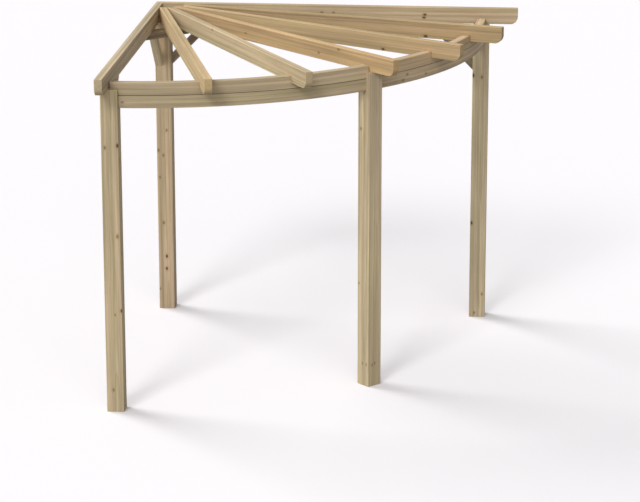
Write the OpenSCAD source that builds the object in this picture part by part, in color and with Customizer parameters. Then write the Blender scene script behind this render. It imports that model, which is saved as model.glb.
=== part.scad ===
// Quarter-circle corner pergola in planed softwood. Four square posts stand on the ground. A curved beam in
// two layers joins the three outer posts, and seven rafters fan out over it from the corner post.
// The origin is at ground level under the corner post's centre, -Y runs along the left edge to the left post
// and +X along the right edge to the right post.

/* [Posts] */
// Side of the square posts
post_w = 120; // [100:1:140]
// Height of the posts, from the ground to their tops
post_h = 2300; // [1900:1:2700]
// Distance from the corner post's centre to the centre of each outer post
post_reach = 2425; // [2100:5:2600]
// Radius of the eased long edges of the posts
post_ease = 5; // [1:0.5:10]

/* [Rafters] */
// Width of a rafter
rafter_w = 55; // [44:1:58]
// Height of a rafter
rafter_h = 120; // [100:1:160]
// Length of a rafter past the centres of the outer posts
rafter_overhang = 272; // [220:1:500]
// Radius of the rounded lower corner at a rafter's outer end
nose_r = 56; // [20:1:90]
// Open square in the corner, from the post's centre to the inner ends of the rafters beside the edges
corner_gap = 170; // [150:1:200]
// Distance, along both edges, from the corner post's centre back to the point where the rafters' lines meet
fan_back = 30; // [10:1:40]

/* [Curved beam] */
// Thickness of the beam, which is centred on the outer posts
beam_t = 60; // [40:1:80]
// Height of each of its two layers
beam_h = 88; // [60:1:120]
// Height of the upper layer above the posts' tops, which is also the depth of the rafters' notches
lap_h = 46; // [20:1:55]
// Clearance between the upper layer's ends, over the posts, and the sides of the rafters
lap_gap = 12; // [2:1:18]
// Clearance on each side of the beam in the rafters' notches
notch_gap = 1; // [0.5:0.1:3]

/* [Braces] */
// Length that a brace takes up on the post, and on the rafter
brace_reach = 358; // [250:1:500]
// Depth of a brace, square to its length
brace_d = 61; // [40:1:75]

/* [Corner plate] */
// Thickness of the board that carries the inner ends of the rafters
plate_t = 50; // [30:1:60]
// Width of the board
plate_w = 98; // [60:1:140]
// Distance from the back of the braces' upper ends to the board, along the edge rafters
plate_gap = 5; // [2:0.5:60]

/* [Hidden] */

// Angle between two neighbouring rafters, and the directions of the posts, counted from -Y towards +X
rafter_step = 90 / 6;
left_az = 0;
middle_az = 45;

half_post = post_w / 2;
half_rafter = rafter_w / 2;
rafter_reach = post_reach + rafter_overhang;
// The edge rafters lie flush with the outer faces of the posts
edge_rafter_offset = half_rafter - half_post;
// Inner face of an edge rafter, seen from the corner post's centre
edge_rafter_inner = edge_rafter_offset + half_rafter;

beam_inner_r = post_reach - beam_t / 2;
beam_top = post_h + lap_h;
beam_seam = beam_top - beam_h;
beam_bottom = beam_seam - beam_h;
// Angle by which a layer is first made too long at each end, before it is cut to the posts
beam_spare = 4;

// The outer ends lie evenly on an arc about the corner post, and the rafters between the edges run from there
// towards a point behind the post's centre. Their turns and lengths are counted from that point.
fan_centre = [-fan_back, fan_back];
function outer_end(az) = rafter_reach * [sin(az), -cos(az)];
function fan_turn(az) = let (run = outer_end(az) - fan_centre) atan2(run[0], -run[1]);
function fan_reach(az) = norm(outer_end(az) - fan_centre);
// Distance from the fan's centre, on a line at a turn, to the middle of the beam
function beam_crossing(turn) = let (s = fan_back * (sin(turn) + cos(turn)))
    s + sqrt(s * s - 2 * fan_back * fan_back + post_reach * post_reach);
// The middle rafter stops where it would meet the sides of its two neighbours
middle_rafter_start = half_rafter / tan((middle_az - fan_turn(2 * rafter_step)) / 2);
// Place of the corner plate's back and front edges on the edge rafters' inner faces
brace_end = half_post + brace_reach;
plate_back = brace_end + plate_gap + edge_rafter_inner;
plate_front = plate_back + plate_w * sqrt(2);

// Length by which a cutting block runs past what it cuts
spare = 10;
far = post_reach + rafter_reach;

timber = [0.74, 0.65, 0.49];
timber_dark = [0.64, 0.55, 0.40];
timber_light = [0.80, 0.71, 0.55];

$fn = 96;

// Puts what is drawn along +X on the radius at an angle from the left edge
module along(az) {
    rotate([0, 0, az - 90]) children();
}

// Puts what is drawn along +X on the line of the rafter whose outer end is at an angle from the left edge
module fan(az) {
    translate(fan_centre) along(fan_turn(az)) children();
}

// Swaps the left and right halves of the quarter circle
module right_hand() {
    mirror([1, 1, 0]) children();
}

module eased_square(side, r) {
    inner = side - 2 * r;
    square([side, inner], center = true);
    square([inner, side], center = true);
    for (x = [-inner / 2, inner / 2], y = [-inner / 2, inner / 2])
        translate([x, y]) circle(r);
}

module post(az, reach) {
    color(timber)
        along(az) translate([reach, 0, 0]) linear_extrude(post_h) eased_square(post_w, post_ease);
}

// Side of a rafter, with its outer end to the right and its lower outer corner rounded
module rafter_side(start, end) {
    translate([start, 0]) square([end - nose_r - start, rafter_h]);
    translate([start, nose_r]) square([end - start, rafter_h - nose_r]);
    translate([end - nose_r, nose_r]) circle(nose_r);
}

// A rafter along +X on the posts' level, with its centre line set off to one side
module rafter_bar(start, end, offset = 0) {
    translate([0, offset + half_rafter, post_h])
        rotate([90, 0, 0]) linear_extrude(rafter_w) rafter_side(start, end);
}

// A rafter between the edges, from the fan's centre outwards, notched to sit over the beam's upper layer
module notched_rafter(az) {
    notch = beam_t + 2 * notch_gap;
    fan(az) difference() {
        rafter_bar(0, fan_reach(az));
        translate([beam_crossing(fan_turn(az)) - notch / 2, -rafter_w, post_h - spare])
            cube([notch, 2 * rafter_w, lap_h + spare]);
    }
}

// Block that clears the open corner behind the rafters nearest the left edge
module corner_clearance() {
    translate([-far / 2, -corner_gap, post_h - spare]) cube([far, far, rafter_h + 2 * spare]);
}

// Block on the left of a line along +X that is set off to one side
module left_block(offset, z0, z1) {
    translate([0, offset - far, z0]) cube([far, far, z1 - z0]);
}

module left_of(az, offset, z0, z1) {
    along(az) left_block(offset, z0, z1);
}

module right_of(az, offset, z0, z1) {
    along(az) translate([0, offset, z0]) cube([far, far, z1 - z0]);
}

module edge_rafter() {
    color(timber_light) difference() {
        along(left_az) rafter_bar(-half_post, rafter_reach, edge_rafter_offset);
        // mitre that meets the other edge rafter over the corner post
        rotate([0, 0, 45]) translate([0, -far / 2, post_h - spare])
            cube([far, far, rafter_h + 2 * spare]);
    }
}

module second_rafter() {
    color(timber) difference() {
        notched_rafter(rafter_step);
        corner_clearance();
        // trimmed where it would run into the side of the edge rafter
        left_of(left_az, edge_rafter_inner, post_h - spare, post_h + rafter_h + spare);
    }
}

module third_rafter() {
    color(timber_light) difference() {
        notched_rafter(2 * rafter_step);
        corner_clearance();
        // bevel against the right side of the second rafter
        fan(rafter_step) left_block(half_rafter, post_h - spare, post_h + rafter_h + spare);
    }
}

module middle_rafter() {
    color(timber) fan(middle_az) rafter_bar(middle_rafter_start, fan_reach(middle_az));
}

// One layer of the left beam, too long at both ends
module beam_layer(z0) {
    rotate([0, 0, left_az - 90 - beam_spare])
        rotate_extrude(angle = middle_az - left_az + 2 * beam_spare, $fn = 360)
            translate([beam_inner_r, z0]) square([beam_t, beam_h]);
}

module lower_beam() {
    color(timber_dark) difference() {
        beam_layer(beam_bottom);
        left_of(left_az, half_post, beam_bottom - spare, beam_seam + spare);
        right_of(middle_az, -half_post, beam_bottom - spare, beam_seam + spare);
    }
}

// The upper layer butts against the posts below their tops, and laps over them nearly to the rafters
module upper_beam() {
    color(timber) difference() {
        beam_layer(beam_seam);
        left_of(left_az, half_post, beam_seam - spare, post_h);
        right_of(middle_az, -half_post, beam_seam - spare, post_h);
        left_of(left_az, edge_rafter_inner + lap_gap, beam_seam - spare, beam_top + spare);
        right_of(middle_az, -half_rafter - lap_gap, beam_seam - spare, beam_top + spare);
    }
}

// Board laid flat across the corner, under the two edge rafters and all that lie between them
module plate() {
    left = -half_post;
    front_left = [left, left - plate_front];
    back_left = [left, left - plate_back];
    color(timber_dark) translate([0, 0, post_h - plate_t]) linear_extrude(plate_t)
        polygon([
            front_left,
            back_left,
            [-back_left[1], -back_left[0]],
            [-front_left[1], -front_left[0]]
        ]);
}

// Side of a knee brace, from a post's face on the left up to the rafter above
module brace_side() {
    upright = brace_d * sqrt(2);
    polygon([[0, -brace_reach], [brace_reach, 0], [brace_reach - upright, 0], [0, upright - brace_reach]]);
}

module brace_in_edge() {
    translate([0, edge_rafter_inner, post_h])
        rotate([90, 0, 0]) linear_extrude(rafter_w) brace_side();
}

// Brace from the corner post out to the left edge rafter
module corner_brace() {
    color(timber_dark) along(left_az) translate([half_post, 0, 0]) brace_in_edge();
}

// Brace from the left post back to the left edge rafter
module outer_brace() {
    color(timber_dark) along(left_az) translate([post_reach - half_post, 0, 0])
        mirror([1, 0, 0]) brace_in_edge();
}

post(left_az, 0);  // corner_post
post(left_az, post_reach);  // left_post
post(middle_az, post_reach);  // middle_post
right_hand() post(left_az, post_reach);  // right_post
lower_beam();  // lower_left_beam
upper_beam();  // upper_left_beam
right_hand() lower_beam();  // lower_right_beam
right_hand() upper_beam();  // upper_right_beam
plate();  // corner_plate
edge_rafter();  // rafter_1
second_rafter();  // rafter_2
third_rafter();  // rafter_3
middle_rafter();  // rafter_4
right_hand() third_rafter();  // rafter_5
right_hand() second_rafter();  // rafter_6
right_hand() edge_rafter();  // rafter_7
corner_brace();  // corner_left_brace
outer_brace();  // left_post_brace
right_hand() corner_brace();  // corner_right_brace
right_hand() outer_brace();  // right_post_brace
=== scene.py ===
import math
import random

import bmesh
import bpy
from mathutils import Matrix, Vector


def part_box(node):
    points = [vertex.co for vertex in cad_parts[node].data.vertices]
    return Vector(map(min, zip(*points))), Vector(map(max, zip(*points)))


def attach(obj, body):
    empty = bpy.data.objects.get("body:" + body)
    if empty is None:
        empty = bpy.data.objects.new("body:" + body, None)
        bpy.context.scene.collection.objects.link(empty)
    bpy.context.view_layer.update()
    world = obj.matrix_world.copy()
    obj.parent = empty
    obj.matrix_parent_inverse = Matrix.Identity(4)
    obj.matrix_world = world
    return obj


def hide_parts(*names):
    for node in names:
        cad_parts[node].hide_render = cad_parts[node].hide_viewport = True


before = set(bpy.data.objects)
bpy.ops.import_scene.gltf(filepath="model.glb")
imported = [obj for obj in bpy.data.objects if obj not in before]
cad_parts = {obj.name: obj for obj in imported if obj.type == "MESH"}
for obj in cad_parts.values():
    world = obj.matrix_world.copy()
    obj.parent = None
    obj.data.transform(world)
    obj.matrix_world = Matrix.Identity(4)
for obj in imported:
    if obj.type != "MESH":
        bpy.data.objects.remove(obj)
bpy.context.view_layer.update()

# Posts
# Four square softwood posts, planed all round with eased long edges and sawn square at both ends.
# Each is one length with the heart of the tree near its middle, and stands on the ground on its end grain.
POST_EASE = 0.005
POST_EASE_STEPS = 6
POST_END_EASE = 0.002
POST_HEART = (0.012, -0.016)
POST_SEED = 1.0
# Knots on the sides that face away: how many, and the length without any at both ends
POST_FAR_KNOTS = 5
POST_CLEAR_ENDS = 0.2
# Front and left faces of a post, seen from its middle
POST_FACE = -0.060
# Tone, turn, and knots, each given across the post, front to back, up from the foot, and by its radius
POSTS = {
    "corner_post": ((0.517, 0.400, 0.262), 0, [
        (0.018, POST_FACE, 1.437, 0.0064), (-0.047, POST_FACE, 1.277, 0.0072),
        (-0.009, POST_FACE, 1.238, 0.0064), (-0.039, POST_FACE, 1.062, 0.0056),
        (-0.015, POST_FACE, 0.697, 0.0072), (0.004, POST_FACE, 0.426, 0.0085),
        (0.002, POST_FACE, 0.326, 0.0080), (-0.052, POST_FACE, 0.160, 0.0050)]),
    "left_post": ((0.535, 0.431, 0.278), 0, [
        (-0.033, POST_FACE, 1.899, 0.0072), (0.054, POST_FACE, 1.915, 0.0085),
        (0.040, POST_FACE, 1.274, 0.0078), (0.058, POST_FACE, 0.740, 0.0080),
        (0.013, POST_FACE, 0.710, 0.0045), (-0.011, POST_FACE, 0.161, 0.0064)]),
    "middle_post": ((0.584, 0.479, 0.317), 45, [
        (POST_FACE, 0.028, 1.890, 0.0064), (POST_FACE, 0.044, 0.757, 0.0050),
        (POST_FACE, 0.004, 0.164, 0.0045), (POST_FACE, -0.037, 0.165, 0.0050),
        (-0.023, POST_FACE, 0.160, 0.0050), (0.002, POST_FACE, 0.169, 0.0056)]),
    "right_post": ((0.551, 0.454, 0.307), 0, [
        (-0.054, POST_FACE, 1.915, 0.0095), (0.012, POST_FACE, 1.903, 0.0072),
        (-0.050, POST_FACE, 0.756, 0.0085), (0.038, POST_FACE, 0.186, 0.0060),
        (-0.019, POST_FACE, 0.033, 0.0060)]),
}

low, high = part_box("corner_post")
post_w = high.x - low.x
half_post = post_w / 2
post_h = high.z
low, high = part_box("left_post")
post_reach = -(low.y + high.y) / 2

# Markings of the wood, by their repeats in a metre, twice across the grain and once along it
STREAKS = (46, 46, 0.6)
TINTS = (31, 31, 0.45)
PATCHES = (5, 5, 1.1)
FIBRES = (520, 520, 9)
RING_WAVER = (7, 7, 0.9)
KNOT_RAGS = (220, 220, 120)
# Roughness and middle level of the noise that draws the markings, and how far a seed moves it
NOISE_ROUGHNESS = 0.55
FIBRE_ROUGHNESS = 0.7
NOISE_MIDDLE = 0.5
SEED_SHIFTS = (3.7, 1.9, 5.3)
# Span of the noise that counts, and the shades at its two ends
STREAK_SHADES = (0.32, 0.68, 0.80, 1.20)
PATCH_SHADES = (0.30, 0.70, 0.91, 1.09)
FIBRE_SHADES = (0.30, 0.70, 0.91, 1.08)
TINT_SPAN = (0.36, 0.64)
OLIVE = (0.98, 1.00, 0.93, 1)
PINK = (1.02, 0.99, 1.02, 1)
# Part of the streaks that end grain doesn't show
STREAKS_LOST = 0.75
# Width of a growth ring, where it darkens and ends, how far rings waver and how far a knot pushes them
RING_WIDTH = 0.0052
RING_DARKENS = (0.25, 0.86)
RING_ENDS = (1.0, 0.90)
RING_WANDER = 0.030
RING_PUSH = 0.011
# Knots are longer along the grain and have ragged edges. Those with a radius of DEAD_KNOT or more are
# dead, and nearly black. NO_KNOT is a distance at which none shows.
KNOT_STRETCH = 0.62
KNOT_RAGGED = 0.5
DEAD_KNOT = 0.008
NO_KNOT = 9.0
# Where the parts of a knot begin and are full, counted in its radius
CORE_SPAN = (1.15, 0.6)
DEAD_SPAN = (1.1, 0.6)
HALO_SPAN = (3.0, 1.0)
RIM_AT = 1.05
RIM_WIDTH = 0.35
# Colour that a marking lays over the timber's tone, and its share
LATEWOOD = ((0.82, 0.74, 0.62, 1), 0.55)
KNOT_HALO = ((0.84, 0.72, 0.56, 1), 0.45)
KNOT_CORE = ((0.190, 0.118, 0.066, 1), 0.72)
KNOT_RIM = ((0.105, 0.060, 0.035, 1), 0.40)
KNOT_DEAD = ((0.035, 0.024, 0.016, 1), 0.74)
END_GRAIN = ((0.82, 0.78, 0.74, 1), 0.30)
# Arrises are painted paler, partly as rubbed wood and partly as a painted highlight, and the eased edges
# along the seam between the beam's layers are painted darker as painted shade
RUBBED_PALE_HIGHLIGHT = (1.14, 1.12, 1.10, 1)
SEAM_PAINTED_SHADE = (0.34, 0.31, 0.28, 1)
# Roughness between the rings and on them, gloss, and the relief that planing leaves
RING_ROUGHNESS = (0.74, 0.60)
GLOSS = 0.25
RELIEF_STRENGTH = 0.35
RELIEF_DEPTH = 0.0006
FIBRE_RELIEF = 0.7
RING_RELIEF = 0.5


def softwood(name, tone, knots, seed, heart):
    """Planed, pressure-treated softwood in a timber's own grain coordinates: X and Y from its middle line,
    Z along it. The seed draws its markings, and the heart is where its growth rings have their middle."""
    wood = bpy.data.materials.new(name)
    wood.use_nodes = True
    nodes, links = wood.node_tree.nodes, wood.node_tree.links
    shader = nodes["Principled BSDF"]

    def feed(socket, value):
        if isinstance(value, bpy.types.NodeSocket):
            links.new(value, socket)
        else:
            socket.default_value = value

    def calc(operation, a, b=0.0, c=0.0):
        node = nodes.new("ShaderNodeMath")
        node.operation = operation
        for socket, value in zip(node.inputs, (a, b, c)):
            feed(socket, value)
        return node.outputs[0]

    def vector(operation, a, b=(0, 0, 0), c=(0, 0, 0)):
        node = nodes.new("ShaderNodeVectorMath")
        node.operation = operation
        for socket, value in zip(node.inputs, (a, b, c)):
            feed(socket, value)
        return node.outputs["Value" if operation == "LENGTH" else "Vector"]

    def attribute(title, output):
        node = nodes.new("ShaderNodeAttribute")
        node.attribute_name = title
        return node.outputs[output]

    grain = attribute("grain", "Vector")
    end_grain = attribute("end_grain", "Fac")

    def noise(stretch, detail, roughness=NOISE_ROUGHNESS):
        node = nodes.new("ShaderNodeTexNoise")
        node.inputs["Scale"].default_value = 1.0
        node.inputs["Detail"].default_value = detail
        node.inputs["Roughness"].default_value = roughness
        place = vector("MULTIPLY_ADD", grain, stretch, tuple(seed * shift for shift in SEED_SHIFTS))
        links.new(place, node.inputs["Vector"])
        return node.outputs["Fac"]

    def between(value, start, end, out_start=0.0, out_end=1.0):
        node = nodes.new("ShaderNodeMapRange")
        node.interpolation_type = "SMOOTHSTEP"
        for socket, number in zip(node.inputs, (value, start, end, out_start, out_end)):
            feed(socket, number)
        return node.outputs["Result"]

    def blend(kind, amount, a, b):
        node = nodes.new("ShaderNodeMix")
        node.data_type = "RGBA"
        node.blend_type = kind
        feed(node.inputs["Factor"], amount)
        feed(node.inputs["A"], a)
        feed(node.inputs["B"], b)
        return node.outputs["Result"]

    def lay_over(kind, colour, mask, marking):
        shade, share = marking
        return blend(kind, calc("MULTIPLY", mask, share), colour, shade)

    # Distance to the nearest knot, and to the nearest dead one, counted in that knot's own radius
    knot = dead = NO_KNOT
    for across, up, along, radius in knots:
        scale = Vector((1 / radius, 1 / radius, KNOT_STRETCH / radius))
        offset = Vector((-across * scale.x, -up * scale.y, -along * scale.z))
        distance = vector("LENGTH", vector("MULTIPLY_ADD", grain, scale, offset))
        knot = calc("MINIMUM", distance, knot)
        if radius >= DEAD_KNOT:
            dead = calc("MINIMUM", distance, dead)
    rags = calc("SUBTRACT", noise(KNOT_RAGS, detail=2), NOISE_MIDDLE)
    ragged = calc("MULTIPLY_ADD", rags, KNOT_RAGGED, knot)
    core = between(ragged, *CORE_SPAN)
    rim = between(calc("ABSOLUTE", calc("SUBTRACT", ragged, RIM_AT)), RIM_WIDTH, 0.0)
    halo = between(ragged, *HALO_SPAN)

    # Growth rings round the heart, which waver along the length and part round the knots
    from_heart = vector("LENGTH", vector("MULTIPLY_ADD", grain, (1, 1, 0), (-heart[0], -heart[1], 0)))
    waver = calc("SUBTRACT", noise(RING_WAVER, detail=2), NOISE_MIDDLE)
    flow = calc("MULTIPLY_ADD", waver, RING_WANDER, calc("MULTIPLY_ADD", halo, RING_PUSH, from_heart))
    turn = calc("FRACT", calc("DIVIDE", flow, RING_WIDTH))
    latewood = calc("MULTIPLY", between(turn, *RING_DARKENS), between(turn, *RING_ENDS))

    # Broad streaks along the grain, lighter and darker and between olive and pink, then single fibres
    streaks = between(noise(STREAKS, detail=3), *STREAK_SHADES)
    tints = between(noise(TINTS, detail=2), *TINT_SPAN)
    patches = between(noise(PATCHES, detail=2), *PATCH_SHADES)
    fibres = noise(FIBRES, detail=3, roughness=FIBRE_ROUGHNESS)

    colour = blend("MULTIPLY", 1.0, (*tone, 1), blend("MIX", tints, OLIVE, PINK))
    colour = blend("MULTIPLY", calc("MULTIPLY_ADD", end_grain, -STREAKS_LOST, 1.0), colour, streaks)
    colour = blend("MULTIPLY", 1.0, colour, patches)
    colour = lay_over("MULTIPLY", colour, latewood, LATEWOOD)
    colour = blend("MULTIPLY", 1.0, colour, between(fibres, *FIBRE_SHADES))
    colour = lay_over("MULTIPLY", colour, halo, KNOT_HALO)
    colour = lay_over("MIX", colour, core, KNOT_CORE)
    colour = lay_over("MIX", colour, rim, KNOT_RIM)
    colour = lay_over("MIX", colour, between(dead, *DEAD_SPAN), KNOT_DEAD)
    colour = lay_over("MULTIPLY", colour, end_grain, END_GRAIN)
    # Marked arrises are painted paler, partly as rubbed wood and partly as a painted highlight, and the
    # seam's eased edges darker as painted shade
    edge_wear_highlight_seam_shade = attribute("edge_wear_highlight_seam_shade", "Fac")
    seam_shade = calc("MULTIPLY", edge_wear_highlight_seam_shade, -1.0)
    colour = blend("MULTIPLY", calc("MAXIMUM", edge_wear_highlight_seam_shade, 0.0), colour, RUBBED_PALE_HIGHLIGHT)
    colour = blend("MULTIPLY", calc("MAXIMUM", seam_shade, 0.0), colour, SEAM_PAINTED_SHADE)
    links.new(colour, shader.inputs["Base Color"])

    links.new(between(latewood, 0.0, 1.0, *RING_ROUGHNESS), shader.inputs["Roughness"])
    shader.inputs["Specular IOR Level"].default_value = GLOSS
    relief = calc("MULTIPLY_ADD", fibres, FIBRE_RELIEF, calc("MULTIPLY_ADD", latewood, RING_RELIEF, core))
    bump = nodes.new("ShaderNodeBump")
    bump.inputs["Strength"].default_value = RELIEF_STRENGTH
    bump.inputs["Distance"].default_value = RELIEF_DEPTH
    links.new(relief, bump.inputs["Height"])
    links.new(bump.outputs["Normal"], shader.inputs["Normal"])
    return wood


# Part of a timber's width over which knots on its far side are spread, and their radii
FAR_KNOT_SPREAD = 0.8
FAR_KNOT_RADII = (0.005, 0.008)


def far_knots(seed, half_across, half_up, start, end, count):
    """Knots for the side of a timber that faces away from the viewpoint, always in the same places."""
    pick = random.Random(seed)
    knots = []
    for _ in range(count):
        up = pick.uniform(-FAR_KNOT_SPREAD, FAR_KNOT_SPREAD) * half_up
        along = pick.uniform(start, end)
        knots.append((half_across, up, along, pick.uniform(*FAR_KNOT_RADII)))
    return knots


# Edges that turn by more than this are sharp
SHARP_TURN = math.radians(35)
EASE_STEPS = 2


def ease(shape, width):
    """Rounds a solid's sharp outer edges, leaves inner corners, and marks the new faces as arrises, which
    are painted paler, partly as rubbed wood and partly as a painted highlight.
    """
    edge_wear_highlight_seam_shade = shape.faces.layers.float.new("edge_wear_highlight_seam_shade")
    sharp = [
        edge for edge in shape.edges
        if len(edge.link_faces) == 2 and edge.is_convex and edge.calc_face_angle() > SHARP_TURN
    ]
    made = bmesh.ops.bevel(
        shape, geom=sharp, offset=width, offset_type="OFFSET",
        segments=EASE_STEPS, profile=0.5, affect="EDGES")
    for face in made["faces"]:
        face[edge_wear_highlight_seam_shade] = 1.0
    return edge_wear_highlight_seam_shade


# Faces that look along the grain by more than this share show end grain
END_SHARE = 0.6


def timber(node, shape, wood, grain_at, along_at):
    """Makes a piece of timber that stands for a node, with its grain coordinates on each point."""
    mesh = bpy.data.meshes.new(node + "_timber")
    shape.normal_update()
    bmesh.ops.recalc_face_normals(shape, faces=shape.faces)
    shape.to_mesh(mesh)
    shape.free()
    grain = mesh.attributes.new("grain", "FLOAT_VECTOR", "POINT")
    for vertex in mesh.vertices:
        grain.data[vertex.index].vector = grain_at(vertex.co)
    ends = mesh.attributes.new("end_grain", "FLOAT", "FACE")
    for face in mesh.polygons:
        share = abs(face.normal.dot(along_at(face.center)))
        ends.data[face.index].value = 1.0 if share > END_SHARE else 0.0
        face.use_smooth = True
    mesh.materials.append(wood)
    piece = bpy.data.objects.new(node + "_timber", mesh)
    bpy.context.scene.collection.objects.link(piece)
    piece.modifiers.new("even_shading", "WEIGHTED_NORMAL").keep_sharp = True
    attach(piece, "root")
    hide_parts(node)


def straight_timber(node, shape, wood, origin, along, up):
    """A timber with straight grain, whose middle line runs through the origin."""
    across = up.cross(along)

    def grain_at(point):
        place = point - origin
        return Vector((place.dot(across), place.dot(up), place.dot(along)))

    timber(node, shape, wood, grain_at, lambda point: along)


def extrude_outline(outline, place):
    """A prism from a flat outline. Place turns (x, y, layer) into a point, and its two faces are layers 0
    and 1."""
    shape = bmesh.new()
    rings = [[shape.verts.new(place(x, y, layer)) for x, y in outline] for layer in (0, 1)]
    shape.faces.new(rings[0])
    shape.faces.new(reversed(rings[1]))
    count = len(outline)
    for i in range(count):
        j = (i + 1) % count
        shape.faces.new((rings[0][i], rings[1][i], rings[1][j], rings[0][j]))
    bmesh.ops.recalc_face_normals(shape, faces=shape.faces)
    return shape


def arc_points(centre, radius, start, end, steps):
    """Points of an arc in an outline, from one angle in degrees to another."""
    angles = [math.radians(start + (end - start) * i / steps) for i in range(steps + 1)]
    return [(centre[0] + radius * math.cos(a), centre[1] + radius * math.sin(a)) for a in angles]


UPWARDS = Vector((0, 0, 1))
BACKWARDS = Vector((0, 1, 0))

post_outline = []
corner = half_post - POST_EASE
for x, y, start in ((1, 1, 0), (-1, 1, 90), (-1, -1, 180), (1, -1, 270)):
    post_outline += arc_points((x * corner, y * corner), POST_EASE, start, start + 90, POST_EASE_STEPS)

for count, (post, (tone, degrees, knots)) in enumerate(POSTS.items()):
    low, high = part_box(post)
    foot = Vector(((low.x + high.x) / 2, (low.y + high.y) / 2, 0))
    turned = Matrix.Rotation(math.radians(degrees), 3, "Z")
    shape = extrude_outline(
        post_outline, lambda x, y, layer: foot + turned @ Vector((x, y, layer * post_h)))
    edge_wear_highlight_seam_shade = ease(shape, POST_END_EASE)
    # The narrow faces of the rounded long corners are marked as well, so they are painted paler too, partly
    # as rubbed wood and partly as a painted highlight
    for face in shape.faces:
        if face.calc_area() < 2 * POST_EASE * post_h / POST_EASE_STEPS:
            face[edge_wear_highlight_seam_shade] = 1.0
    knots = knots + far_knots(
        count, half_post, half_post, POST_CLEAR_ENDS, post_h - POST_CLEAR_ENDS, POST_FAR_KNOTS)
    wood = softwood(post + "_wood", tone, knots, POST_SEED + count, POST_HEART)
    straight_timber(post, shape, wood, foot, UPWARDS, turned @ BACKWARDS)

# Curved beam
# Laminated softwood, made in the curve of the arc, in two layers that lie one on the other.
# The lower layer butts against the outer posts. The upper one also laps over their tops, nearly to the
# sides of the rafters.
BEAM_EASE = 0.0023
BEAM_STEPS = 48
LAP_GAP = 0.012
LOWER_HEART = (-0.035, -0.12)
UPPER_HEART = (-0.035, 0.10)
# Outer face of the beam, seen from its middle
BEAM_FACE = 0.030
# Tone, seed, and knots, each given outwards from the middle of the layer, up, along the arc from the left
# edge, and by its radius
BEAMS = {
    # The lower layers' tones are raised as painted light, against the shade that the rafter ends cast on
    # them
    "lower_left_beam": ((0.470, 0.383, 0.247), 81.0, [(BEAM_FACE, -0.003, 0.088, 0.0056)]),
    "upper_left_beam": ((0.497, 0.403, 0.264), 12.0, []),
    "lower_right_beam": ((0.580, 0.455, 0.308), 79.0, [
        (BEAM_FACE, 0.014, 2.267, 0.0064), (BEAM_FACE, -0.021, 2.223, 0.0064),
        (BEAM_FACE, -0.016, 2.481, 0.0056)]),
    "upper_right_beam": ((0.524, 0.393, 0.251), 14.0, []),
}

low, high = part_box("upper_left_beam")
beam_outer = -low.y
beam_inner = 2 * post_reach - beam_outer
beam_seam = low.z
beam_top = high.z
low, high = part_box("rafter_1")
rafter_w = high.x - low.x
half_rafter = rafter_w / 2
rafter_h = high.z - low.z
rafter_reach = -low.y
edge_inner = high.x


def swap_halves(point):
    """Mirrors a point in the upright plane through the corner post and the middle post."""
    return Vector((-point.y, -point.x, point.z))


def mirror(shape):
    """Turns a solid of the left half into its partner in the right half."""
    for vertex in shape.verts:
        vertex.co = swap_halves(vertex.co)


def on_radius(angle, distance, height):
    """A point by its angle from the left edge, distance from the corner post's centre, and height."""
    return Vector((distance * math.sin(angle), -distance * math.cos(angle), height))


def beam_layer(bottom, top, left_ends, right_ends):
    """One layer from the left post to the middle one. Its ends are given by their distances from the posts'
    centre lines, first below the posts' tops and then, in a layer that laps over them, above."""
    middle_post_at = math.pi / 4
    lapped = len(left_ends) > 1
    levels = [bottom, post_h, top] if lapped else [bottom, top]
    shape = bmesh.new()

    def angles(radius):
        starts = [math.asin(x / radius) for x in reversed(left_ends)]
        stops = [middle_post_at - math.asin(x / radius) for x in right_ends]
        span = stops[0] - starts[-1]
        inner = [starts[-1] + span * i / BEAM_STEPS for i in range(BEAM_STEPS + 1)]
        return starts[:-1] + inner + stops[1:]

    columns = []
    inner_angles, outer_angles = angles(beam_inner), angles(beam_outer)
    last = len(inner_angles) - 1
    for k, (a, b) in enumerate(zip(inner_angles, outer_angles)):
        tall = not lapped or 0 < k < last
        heights = levels if tall else levels[1:]
        columns.append(([shape.verts.new(on_radius(a, beam_inner, z)) for z in heights],
                        [shape.verts.new(on_radius(b, beam_outer, z)) for z in heights]))
    for k in range(last):
        (i0, o0), (i1, o1) = columns[k], columns[k + 1]
        shared = min(len(i0), len(i1))
        i0, o0, i1, o1 = i0[-shared:], o0[-shared:], i1[-shared:], o1[-shared:]
        shape.faces.new((i0[0], i1[0], o1[0], o0[0]))
        shape.faces.new((i0[-1], o0[-1], o1[-1], i1[-1]))
        for z in range(shared - 1):
            shape.faces.new((i0[z], i0[z + 1], i1[z + 1], i1[z]))
            shape.faces.new((o0[z], o1[z], o1[z + 1], o0[z + 1]))
    for k in ((0, 1, last - 1, last) if lapped else (0, last)):
        inner, outer = columns[k]
        shape.faces.new((inner[0], outer[0], outer[1], inner[1]))
    bmesh.ops.recalc_face_normals(shape, faces=shape.faces)
    return shape


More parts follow.
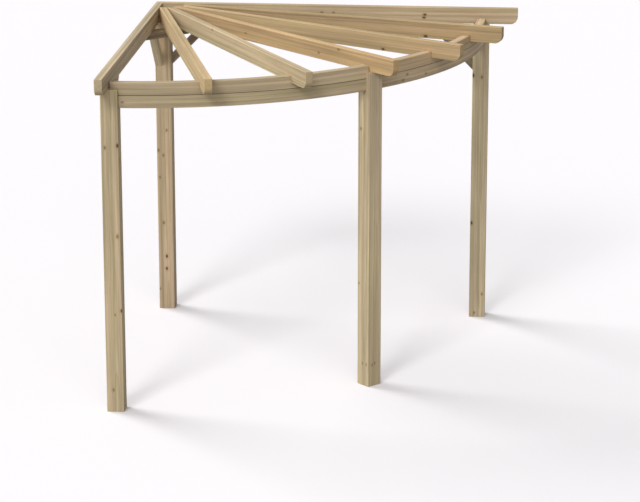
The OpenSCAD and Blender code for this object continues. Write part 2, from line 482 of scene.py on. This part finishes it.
for node, (tone, seed, knots) in BEAMS.items():
    low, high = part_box(node)
    if node.startswith("lower"):
        heart = LOWER_HEART
        shape = beam_layer(low.z, high.z, [half_post], [half_post])
    else:
        heart = UPPER_HEART
        shape = beam_layer(
            low.z, high.z, [half_post, edge_inner + LAP_GAP], [half_post, half_rafter + LAP_GAP])
    edge_wear_highlight_seam_shade = ease(shape, BEAM_EASE)
    # Eased faces along the seam between the two layers are marked -1, which paints shade into them
    for face in shape.faces:
        if face[edge_wear_highlight_seam_shade] and abs(face.calc_center_median().z - beam_seam) < BEAM_EASE:
            face[edge_wear_highlight_seam_shade] = -1.0
    if "right" in node:
        mirror(shape)
    middle = Vector(((beam_inner + beam_outer) / 2, (low.z + high.z) / 2, 0))

    def grain_at(point, middle=middle):
        turn = math.atan2(point.x, -point.y)
        return Vector((math.hypot(point.x, point.y), point.z, turn * beam_outer)) - middle

    def along_at(point):
        return Vector((-point.y, point.x, 0)).normalized()

    wood = softwood(node + "_wood", tone, knots, seed, heart)
    timber(node, shape, wood, grain_at, along_at)

# Edge rafters
# Planed softwood on edge along both straight sides, flush with the outer faces of the posts that carry it.
# They are mitred together over the corner post, and their outer ends are rounded underneath.
RAFTER_EASE = 0.004
NOSE_RADIUS = 0.056
NOSE_STEPS = 12
EDGE_SEED = 21.0
# Knots on the sides that face away: how many, and the lengths without any at the inner and outer ends
RAFTER_FAR_KNOTS = 4
RAFTER_CLEAR_START = 0.3
RAFTER_CLEAR_END = 0.2
# Side of a rafter that faces the viewpoint, seen from its middle
RAFTER_FACE = -0.0275
# Tone, heart, and knots, each given across the rafter, up from its middle, along it, and by its radius
EDGE_RAFTERS = {
    "rafter_1": ((0.500, 0.405, 0.278), (0.030, -0.120), []),
    "rafter_7": ((0.515, 0.402, 0.258), (-0.060, 0.090), [
        (RAFTER_FACE, 0.007, 1.213, 0.0064), (RAFTER_FACE, 0.008, 1.303, 0.0056),
        (RAFTER_FACE, 0.004, 1.996, 0.0080), (RAFTER_FACE, -0.019, 1.990, 0.0080),
        (RAFTER_FACE, -0.055, 1.782, 0.0072)]),
}


def rafter_side(start, end, notch=()):
    """Side of a rafter from its inner end to its rounded outer one, with any notch in its underside."""
    nose = arc_points((end - NOSE_RADIUS, NOSE_RADIUS), NOSE_RADIUS, -90, 0, NOSE_STEPS)
    return [(start, 0), *notch, *nose, (end, rafter_h), (start, rafter_h)]


def rafter_shape(turn, outline, origin):
    """A rafter on the posts' level, on a line from the origin at an angle from the left edge."""
    along, across = on_radius(turn, 1, 0), Vector((math.cos(turn), math.sin(turn), 0))

    def place(x, y, layer):
        return origin + along * x + across * (layer - 0.5) * rafter_w + Vector((0, 0, post_h + y))

    return extrude_outline(outline, place)


def saw(shape, point, outward):
    """Cuts a solid with a plane, takes away the outward side and closes the cut."""
    geometry = shape.verts[:] + shape.edges[:] + shape.faces[:]
    cut = bmesh.ops.bisect_plane(shape, geom=geometry, plane_co=point, plane_no=outward, clear_outer=True)
    edges = [part for part in cut["geom_cut"] if isinstance(part, bmesh.types.BMEdge)]
    bmesh.ops.edgeloop_fill(shape, edges=edges)
    bmesh.ops.recalc_face_normals(shape, faces=shape.faces)


def rafter(node, shape, turn, origin, right_half, tone, seed, heart, knots):
    """Eases a rafter that was cut for the left half, mirrors it for the right one, and makes it of wood."""
    ease(shape, RAFTER_EASE)
    along = on_radius(turn, 1, 0)
    origin = origin + Vector((0, 0, post_h + rafter_h / 2))
    if right_half:
        mirror(shape)
        along, origin = swap_halves(along), swap_halves(origin)
    clear_end = rafter_reach - RAFTER_CLEAR_END
    knots = knots + far_knots(
        seed, half_rafter, rafter_h / 2, RAFTER_CLEAR_START, clear_end, RAFTER_FAR_KNOTS)
    wood = softwood(node + "_wood", tone, knots, seed, heart)
    straight_timber(node, shape, wood, origin, along, UPWARDS)


edge_offset = edge_inner - half_rafter
edge_origin = Vector((edge_offset, 0, 0))
for node, (tone, heart, knots) in EDGE_RAFTERS.items():
    right_half = node == "rafter_7"
    shape = rafter_shape(0, rafter_side(-post_w, rafter_reach), edge_origin)
    saw(shape, Vector((0, 0, 0)), Vector((1, 1, 0)).normalized())
    rafter(node, shape, 0, edge_origin, right_half, tone, EDGE_SEED + right_half, heart, knots)

# Knee braces
# Short softwood struts at 45 degrees that stiffen both straight sides. Their ends are cut to butt against
# a post's face and the underside of an edge rafter, and nothing shows of what holds them there.
BRACE_DEPTH = 0.061
BRACE_EASE = 0.003
BRACE_HEART = (0.05, 0.06)
BRACE_SEED = 31.0
# Tone, whether the post at its foot is near the corner or far from it, and which way the brace leans
# The four braces are one wood: corner_left_brace is made lighter as painted light, and the two right-hand
# braces darker as painted shade from the rafters above them
BRACES = {
    "corner_left_brace": ((0.710, 0.585, 0.398), "near", 1),
    "left_post_brace": ((0.480, 0.385, 0.255), "far", -1),
    "corner_right_brace": ((0.326, 0.263, 0.187), "near", 1),
    "right_post_brace": ((0.276, 0.228, 0.162), "far", -1),
}

low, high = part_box("corner_left_brace")
brace_reach = high.y - low.y
brace_rise = BRACE_DEPTH * math.sqrt(2)
brace_outline = [
    (0, -brace_reach),
    (brace_reach, 0),
    (brace_reach - brace_rise, 0),
    (0, brace_rise - brace_reach),
]

for count, (node, (tone, post, way)) in enumerate(BRACES.items()):
    foot = half_post if post == "near" else post_reach - half_post
    shape = extrude_outline(brace_outline, lambda x, y, layer: Vector(
        (edge_inner - layer * rafter_w, -(foot + way * x), post_h + y)))
    ease(shape, BRACE_EASE)
    along = Vector((0, -way, 1)).normalized()
    up = Vector((0, way, 1)).normalized()
    origin = Vector((edge_offset, -(foot + way * brace_reach / 2), post_h - brace_reach / 2))
    if "right" in node:
        mirror(shape)
        along, up, origin = swap_halves(along), swap_halves(up), swap_halves(origin)
    wood = softwood(node + "_wood", tone, [], BRACE_SEED + count, BRACE_HEART)
    straight_timber(node, shape, wood, origin, along, up)

# Corner plate
# A softwood board laid flat across the corner, fixed up under the two edge rafters.
# The rafters between them rest on it near their inner ends.
PLATE_EASE = 0.003
# Its tone is darker than the other timbers': the shade under the dense rafters near the corner is painted
# into it
PLATE_SHADED_TONE = (0.215, 0.169, 0.106)
PLATE_WIDTH = 0.098
PLATE_HEART = (0.02, 0.05)
PLATE_SEED = 41.0

low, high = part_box("corner_plate")
plate_t = high.z - low.z
plate_front = -low.y - half_post
plate_back = plate_front - PLATE_WIDTH * math.sqrt(2)
plate_outline = [
    (-half_post, -half_post - plate_front),
    (plate_front + half_post, half_post),
    (plate_back + half_post, half_post),
    (-half_post, -half_post - plate_back),
]
shape = extrude_outline(plate_outline, lambda x, y, layer: Vector((x, y, post_h - plate_t * (1 - layer))))
ease(shape, PLATE_EASE)
wood = softwood("corner_plate_wood", PLATE_SHADED_TONE, [], PLATE_SEED, PLATE_HEART)
origin = Vector((0, -plate_back, post_h))
along = Vector((1, 1, 0)).normalized()
straight_timber("corner_plate", shape, wood, origin, along, UPWARDS)

# Fan rafters
# Rafters like those at the edges, on lines between them. They are notched over the upper layer of the beam,
# except the middle one, which rests on its post. All rest on the corner plate, and behind it their inner
# ends are cut to lie against each other.
NOTCH_GAP = 0.001
CORNER_GAP = 0.170
FAN_BACK = 0.030
FAN_SEED = 51.0
# Degrees between the outer ends of neighbouring rafters, and from the left edge to the right one
RAFTER_STEP = 15
FAN_SPAN = 90
# Start of a rafter before its inner end is sawn
ROUGH_START = 0.04
# Tone, heart and knots, as for the edge rafters
FAN_RAFTERS = {
    "rafter_2": ((0.546, 0.412, 0.229), (0.050, -0.090), []),
    "rafter_3": ((0.544, 0.435, 0.274), (-0.070, 0.060), [(RAFTER_FACE, 0.050, 1.104, 0.0064)]),
    "rafter_4": ((0.512, 0.356, 0.191), (0.040, 0.100), [
        (RAFTER_FACE, 0.043, 2.155, 0.0072), (RAFTER_FACE, -0.015, 1.936, 0.0064),
        (RAFTER_FACE, -0.005, 1.097, 0.0056)]),
    "rafter_5": ((0.496, 0.367, 0.207), (-0.060, -0.080), [(RAFTER_FACE, -0.047, 2.082, 0.0085)]),
    "rafter_6": ((0.450, 0.326, 0.180), (0.070, 0.070), [(RAFTER_FACE, -0.044, 2.150, 0.0095)]),
}

fan_centre = Vector((-FAN_BACK, FAN_BACK, 0))


def fan_line(degrees):
    """Turn and length, from the fan's centre, of the rafter that ends at an angle from the left edge."""
    run = on_radius(math.radians(degrees), rafter_reach, 0) - fan_centre
    return math.atan2(run.x, -run.y), run.length


second_turn, _ = fan_line(RAFTER_STEP)
third_turn, _ = fan_line(2 * RAFTER_STEP)
second_side = Vector((math.cos(second_turn), math.sin(second_turn), 0))
half_notch = (beam_outer - beam_inner) / 2 + NOTCH_GAP
notch_top = beam_top - post_h
for count, (node, (tone, heart, knots)) in enumerate(FAN_RAFTERS.items()):
    degrees = RAFTER_STEP * (count + 1)
    right_half = degrees > FAN_SPAN / 2
    turn, reach = fan_line(FAN_SPAN - degrees if right_half else degrees)
    if node == "rafter_4":
        start = half_rafter / math.tan((turn - third_turn) / 2)
        shape = rafter_shape(turn, rafter_side(start, reach), fan_centre)
    else:
        back = FAN_BACK * (math.sin(turn) + math.cos(turn))
        crossing = back + math.sqrt(back ** 2 - 2 * FAN_BACK ** 2 + post_reach ** 2)
        near, far = crossing - half_notch, crossing + half_notch
        notch = [(near, 0), (near, notch_top), (far, notch_top), (far, 0)]
        shape = rafter_shape(turn, rafter_side(ROUGH_START, reach, notch), fan_centre)
        saw(shape, Vector((0, -CORNER_GAP, 0)), BACKWARDS)
        if node in ("rafter_3", "rafter_5"):
            saw(shape, fan_centre + second_side * half_rafter, -second_side)
    rafter(node, shape, turn, fan_centre, right_half, tone, FAN_SEED + count, heart, knots)

# Ground
# A plain white floor that runs out of sight and keeps the pergola's soft shadow.
# The camera sees it nearly white, and it throws only a little light back on the timbers.
FLOOR_SIZE = 90.0
FLOOR_TONE = (0.890, 0.872, 0.890, 1)
FLOOR_GLOW = (0.035, 0.030, 0.035, 1)
FLOOR_BOUNCE = 0.26

shape = bmesh.new()
bmesh.ops.create_grid(shape, x_segments=1, y_segments=1, size=FLOOR_SIZE / 2)
floor_mesh = bpy.data.meshes.new("floor")
shape.to_mesh(floor_mesh)
shape.free()
floor = bpy.data.objects.new("floor", floor_mesh)
bpy.context.scene.collection.objects.link(floor)
floor_paint = bpy.data.materials.new("floor_paint")
floor_paint.use_nodes = True
nodes, links = floor_paint.node_tree.nodes, floor_paint.node_tree.links
nodes.remove(nodes["Principled BSDF"])
seen, lit = nodes.new("ShaderNodeBsdfDiffuse"), nodes.new("ShaderNodeBsdfDiffuse")
seen.inputs["Color"].default_value = FLOOR_TONE
lit.inputs["Color"].default_value = (FLOOR_BOUNCE, FLOOR_BOUNCE, FLOOR_BOUNCE, 1)
glow = nodes.new("ShaderNodeEmission")
glow.inputs["Color"].default_value = FLOOR_GLOW
glow.inputs["Strength"].default_value = 1.0
both, either = nodes.new("ShaderNodeAddShader"), nodes.new("ShaderNodeMixShader")


def seen_directly(nodes, links):
    """1 for the camera's rays, also when mirrored or let through, and 0 for light that falls on things."""
    path = nodes.new("ShaderNodeLightPath")
    mirrored, through = nodes.new("ShaderNodeMath"), nodes.new("ShaderNodeMath")
    mirrored.operation = through.operation = "MAXIMUM"
    links.new(path.outputs["Is Camera Ray"], mirrored.inputs[0])
    links.new(path.outputs["Is Glossy Ray"], mirrored.inputs[1])
    links.new(mirrored.outputs[0], through.inputs[0])
    links.new(path.outputs["Is Transmission Ray"], through.inputs[1])
    return through.outputs[0]


links.new(seen.outputs[0], both.inputs[0])
links.new(glow.outputs[0], both.inputs[1])
links.new(seen_directly(nodes, links), either.inputs["Fac"])
links.new(lit.outputs[0], either.inputs[1])
links.new(both.outputs[0], either.inputs[2])
links.new(either.outputs[0], nodes["Material Output"].inputs["Surface"])
floor_mesh.materials.append(floor_paint)

# Light
# Soft studio light: a broad lamp behind on the left, a smaller one in front on the left and a wide fill
# from the front, in a pale room that is brightest overhead and darkest on the right.
LAMP_DISTANCE = 10
# Heading over the ground, rise and spread in degrees, and level
LAMPS = {
    "lamp_left": ((-0.875, 0.484), 35, 32, 0.625),
    "lamp_front": ((-0.33, -0.944), 38, 18, 0.345),
    "lamp_fill": ((0.04, -0.999), 22, 60, 0.33),
}
ROOM_LEVEL = 0.09
ROOM_SLOPE = (-0.14, -0.10, 0.45)
ROOM_LEAST = 0.04

for name, (heading, rise, spread, level) in LAMPS.items():
    flat = Vector((*heading, 0)).normalized() * math.cos(math.radians(rise))
    towards = flat + Vector((0, 0, math.sin(math.radians(rise))))
    lamp = bpy.data.lights.new(name, "SUN")
    lamp.angle = math.radians(spread)
    lamp.energy = level * math.pi
    lamp_object = bpy.data.objects.new(name, lamp)
    lamp_object.location = towards * LAMP_DISTANCE
    lamp_object.rotation_euler = towards.to_track_quat("Z", "Y").to_euler()
    bpy.context.scene.collection.objects.link(lamp_object)

room = bpy.data.worlds.new("room")
bpy.context.scene.world = room
room.use_nodes = True
nodes, links = room.node_tree.nodes, room.node_tree.links
wall = nodes["Background"]
wall.inputs["Color"].default_value = (1, 1, 1, 1)
direction, slope = nodes.new("ShaderNodeTexCoord"), nodes.new("ShaderNodeVectorMath")
slope.operation = "DOT_PRODUCT"
slope.inputs[1].default_value = ROOM_SLOPE
links.new(direction.outputs["Generated"], slope.inputs[0])
graded, least = nodes.new("ShaderNodeMath"), nodes.new("ShaderNodeMath")
graded.operation, least.operation = "ADD", "MAXIMUM"
graded.inputs[1].default_value = ROOM_LEVEL
least.inputs[1].default_value = ROOM_LEAST
links.new(slope.outputs["Value"], graded.inputs[0])
links.new(graded.outputs[0], least.inputs[0])
strength = nodes.new("ShaderNodeMix")
links.new(seen_directly(nodes, links), strength.inputs["Factor"])
links.new(least.outputs[0], strength.inputs["A"])
strength.inputs["B"].default_value = 1.0
links.new(strength.outputs["Result"], wall.inputs["Strength"])

# Viewpoint
# A long lens from the front, a little to the right of the middle and above the roof, as in the photograph.
# Its place, turns and focal length were fitted to the edges of the posts, rafters and beam there.
IMAGE_WIDTH = 640
FOCAL_PIXELS = 2680.56
SENSOR = 36.0
FARTHEST = 500
VIEWER = Vector((3.08992, -19.94168, 6.30669))
YAW = 0.09455
PITCH = 0.28296
ROLL = -0.00086

look = Vector((-math.sin(YAW) * math.cos(PITCH), math.cos(YAW) * math.cos(PITCH), -math.sin(PITCH)))
sideways = Vector((math.cos(YAW), math.sin(YAW), 0))
upright = sideways.cross(look)
right = sideways * math.cos(ROLL) + upright * math.sin(ROLL)
over = upright * math.cos(ROLL) - sideways * math.sin(ROLL)
lens = bpy.data.cameras.new("viewpoint")
lens.sensor_fit = "HORIZONTAL"
lens.sensor_width = SENSOR
lens.lens = FOCAL_PIXELS * SENSOR / IMAGE_WIDTH
lens.clip_end = FARTHEST
camera = bpy.data.objects.new("viewpoint", lens)
camera.matrix_world = Matrix((
    (right.x, over.x, -look.x, VIEWER.x),
    (right.y, over.y, -look.y, VIEWER.y),
    (right.z, over.z, -look.z, VIEWER.z),
    (0, 0, 0, 1),
))
bpy.context.scene.collection.objects.link(camera)
bpy.context.scene.camera = camera
bpy.context.scene.view_settings.view_transform = "Standard"
